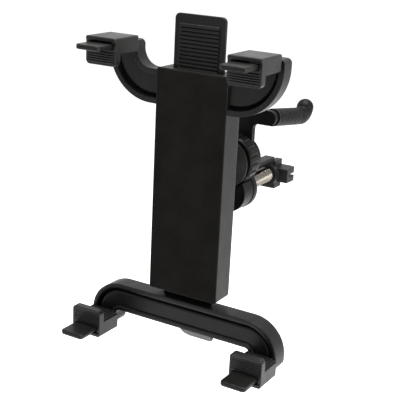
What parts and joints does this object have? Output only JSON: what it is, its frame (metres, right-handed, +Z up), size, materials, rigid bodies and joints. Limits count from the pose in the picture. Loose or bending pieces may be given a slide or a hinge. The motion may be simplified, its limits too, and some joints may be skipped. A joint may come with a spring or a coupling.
{
  "type": "air vent tablet mount",
  "caption": "Car air vent tablet mount: padded upright case with U-shaped upper arms, sliding lower arm, adjustable claws, ball joint, vent hooks and a screw clip.",
  "frame": {"origin": "midway between the two vent hooks, at the height of the top of their sleeves, where a vent blade seats", "axes": "+Z up, +X to the right as seen from the tablet side, +Y from the tablet towards the vent"},
  "size_m": [0.136, 0.1623, 0.2094],
  "materials": {
    "case_black": "satin moulded black",
    "arm_black": "satin moulded black",
    "claw_black": "satin moulded black",
    "seat_rubber": "soft ribbed rubber",
    "pad_foam": "fine closed foam",
    "vent_black": "satin moulded black",
    "hook_rubber": "ribbed rubber",
    "clip_rubber": "rubber-like black",
    "bolt_metal": "bright plated thread",
    "steel": "plated"
  },
  "bodies": {
    "bracket": {"vent_bracket": "vent_black", "hook_rod_left": "steel", "hook_rod_right": "steel", "hook_sleeve_left": "hook_rubber", "hook_sleeve_right": "hook_rubber"},
    "ring_nut": {"ring_nut": "vent_black"},
    "thumb_nut": {"thumb_nut": "vent_black"},
    "clip": {"clip_bolt": "bolt_metal", "vent_clip": "clip_rubber"},
    "ball_liner": {"ball_liner": "vent_black"},
    "ball_stud": {"ball_stud": "vent_black", "pivot_screw": "steel", "spring_washer": "steel", "friction_washer": "steel"},
    "holder": {"rear_case": "case_black", "front_cover": "case_black", "foam_pad": "pad_foam", "case_screws": "steel", "click_spring": "steel"},
    "slider": {"lower_arm": "arm_black", "ratchet_tongue": "arm_black", "tongue_screws": "steel"},
    "claw_upper_left": {"claw_upper_left": "claw_black", "seat_upper_left": "seat_rubber"},
    "claw_upper_right": {"claw_upper_right": "claw_black", "seat_upper_right": "seat_rubber"},
    "claw_lower_left": {"claw_lower_left": "claw_black", "seat_lower_left": "seat_rubber"},
    "claw_lower_right": {"claw_lower_right": "claw_black", "seat_lower_right": "seat_rubber"}
  },
  "joints": [
    {"name": "ring_turn", "type": "hinge", "parent": "bracket", "child": "ring_nut", "pos_m": [0, -0.0455, -0.02953], "axis": [0, 1, 0], "continuous": true},
    {"name": "thumb_nut_turn", "type": "hinge", "parent": "bracket", "child": "thumb_nut", "pos_m": [0, -0.0332, -0.05053], "axis": [0, 1, 0], "range_deg": [-485, 365]},
    {"name": "clip_draw", "type": "slide", "parent": "bracket", "child": "clip", "axis": [0, 1, 0], "range_m": [-0.002, 0.0015]},
    {"name": "ball_yaw", "type": "hinge", "parent": "bracket", "child": "ball_liner", "pos_m": [0, -0.0455, -0.02953], "axis": [0, 0, 1], "range_deg": [-12, 12]},
    {"name": "ball_pitch", "type": "hinge", "parent": "ball_liner", "child": "ball_stud", "pos_m": [0, -0.0455, -0.02953], "axis": [1, 0, 0], "range_deg": [-12, 12]},
    {"name": "holder_spin", "type": "hinge", "parent": "ball_stud", "child": "holder", "pos_m": [0, -0.0455, -0.02953], "axis": [0, 1, 0], "continuous": true},
    {"name": "arm_slide", "type": "slide", "parent": "holder", "child": "slider", "axis": [0, 0, -1], "range_m": [-0.0036, 0.062]},
    {"name": "upper_left_claw_slide", "type": "slide", "parent": "holder", "child": "claw_upper_left", "axis": [0, -1, 0], "range_m": [-0.002, 0.007]},
    {"name": "upper_right_claw_slide", "type": "slide", "parent": "holder", "child": "claw_upper_right", "axis": [0, -1, 0], "range_m": [-0.002, 0.007]},
    {"name": "lower_left_claw_slide", "type": "slide", "parent": "slider", "child": "claw_lower_left", "axis": [0, -1, 0], "range_m": [0, 0.009]},
    {"name": "lower_right_claw_slide", "type": "slide", "parent": "slider", "child": "claw_lower_right", "axis": [0, -1, 0], "range_m": [0, 0.009]}
  ],
  "couplings": [
    {"joint": "thumb_nut_turn", "follows": "clip_draw", "rad_per_m": 4188.8}
  ]
}
